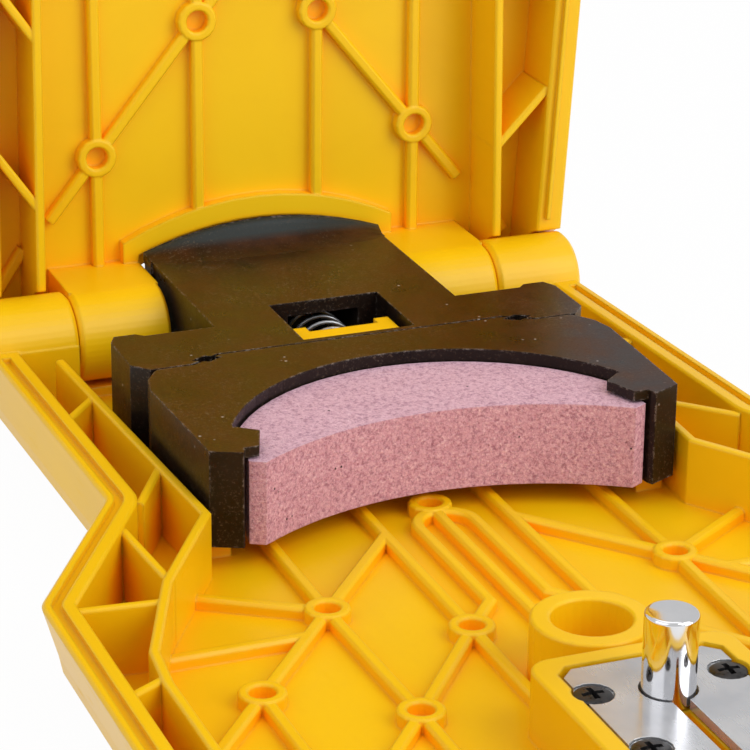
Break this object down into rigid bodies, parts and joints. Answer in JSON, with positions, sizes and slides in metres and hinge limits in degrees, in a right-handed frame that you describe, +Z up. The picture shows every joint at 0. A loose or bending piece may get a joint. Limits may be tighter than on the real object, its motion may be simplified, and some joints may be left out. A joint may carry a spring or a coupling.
{
  "type": "chainsaw sharpener",
  "caption": "Clamshell chainsaw sharpener with a hinged ribbed case, a spring-loaded push slide and a curved grinding stone for the chain on the bar's nose.",
  "frame": {"origin": "on the base's flat underside, on the centre line, below the front corners of the stone holder", "axes": "+Y from the bar's mouth towards the hinge, +Z up out of the open base, +X to the right seen from the mouth"},
  "size_m": [0.1412, 0.1731, 0.1705],
  "materials": {
    "yellow_plastic": "moulded, satin gloss",
    "black_plastic": "moulded, satin gloss",
    "pink_abrasive": "bonded grit, matt",
    "bright_steel": "bright",
    "chrome": "polished",
    "blackened_steel": "blackened"
  },
  "bodies": {
    "base": {"base_case": "yellow_plastic", "bar_plate": "bright_steel", "locating_pin": "chrome", "plate_screw_rear_left": "blackened_steel", "plate_screw_rear_right": "blackened_steel", "plate_screw_front_left": "blackened_steel", "plate_screw_front_right": "blackened_steel", "hinge_pin_left": "bright_steel", "hinge_pin_right": "bright_steel", "return_spring": "bright_steel"},
    "lid": {"lid_case": "yellow_plastic", "latch_pin_left": "bright_steel", "latch_pin_right": "bright_steel"},
    "slide": {"push_slide": "black_plastic", "stone_holder": "black_plastic", "grinding_stone": "pink_abrasive", "guide_screw_left": "bright_steel", "guide_screw_right": "bright_steel", "guide_washer_left": "bright_steel", "guide_washer_right": "bright_steel"},
    "latch_swing_left": {"latch_left": "black_plastic"},
    "latch_swing_right": {"latch_right": "black_plastic"}
  },
  "joints": [
    {"name": "lid_hinge", "type": "hinge", "parent": "base", "child": "lid", "pos_m": [0, 0.0628, 0.0107], "axis": [1, 0, 0], "range_deg": [0, 90]},
    {"name": "slide_push", "type": "slide", "parent": "base", "child": "slide", "axis": [0, -1, 0], "range_m": [0, 0.006], "stiffness_N_per_m": 1000, "springref_m": -0.01, "deforming": ["return_spring"]},
    {"name": "latch_left_swing", "type": "hinge", "parent": "lid", "child": "latch_swing_left", "pos_m": [-0.062, 0.0676, 0.1515], "axis": [0, 0, 1], "range_deg": [0, 60]},
    {"name": "latch_right_swing", "type": "hinge", "parent": "lid", "child": "latch_swing_right", "pos_m": [0.062, 0.0676, 0.1515], "axis": [0, 0, -1], "range_deg": [0, 60]}
  ]
}
